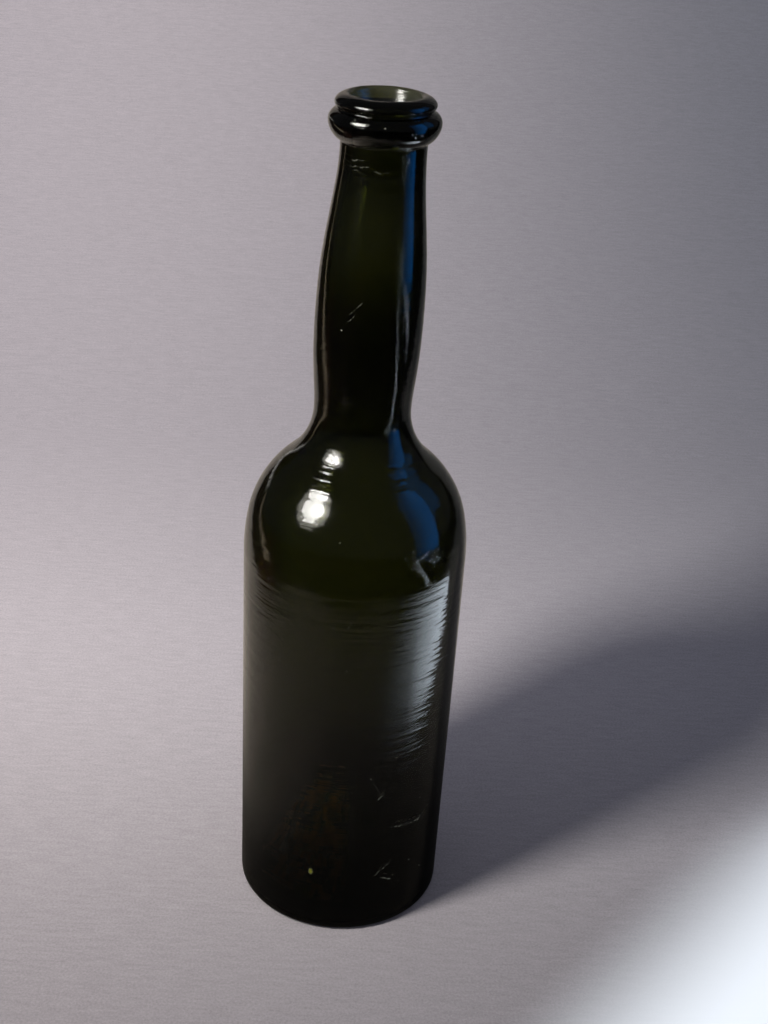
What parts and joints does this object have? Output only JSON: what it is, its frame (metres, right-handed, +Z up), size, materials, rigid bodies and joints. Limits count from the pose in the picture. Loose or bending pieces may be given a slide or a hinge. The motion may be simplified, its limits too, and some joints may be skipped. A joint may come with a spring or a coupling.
{
  "type": "glass bottle",
  "caption": "Mouth-blown bottle of very dark olive-green glass: straight body, round shoulder, long swelled neck that leans slightly, tooled two-ring lip and tall push-up base.",
  "frame": {"origin": "centre of the base ring, on the surface that the bottle stands on", "axes": "+Z up along the body's axis towards the mouth, +X the way in which the neck leans"},
  "size_m": [0.0786, 0.0784, 0.3],
  "materials": {
    "dark_glass": "glossy blown glass, satin where the mould touched the body"
  },
  "bodies": {
    "root": {"bottle": "dark_glass"}
  },
  "joints": []
}
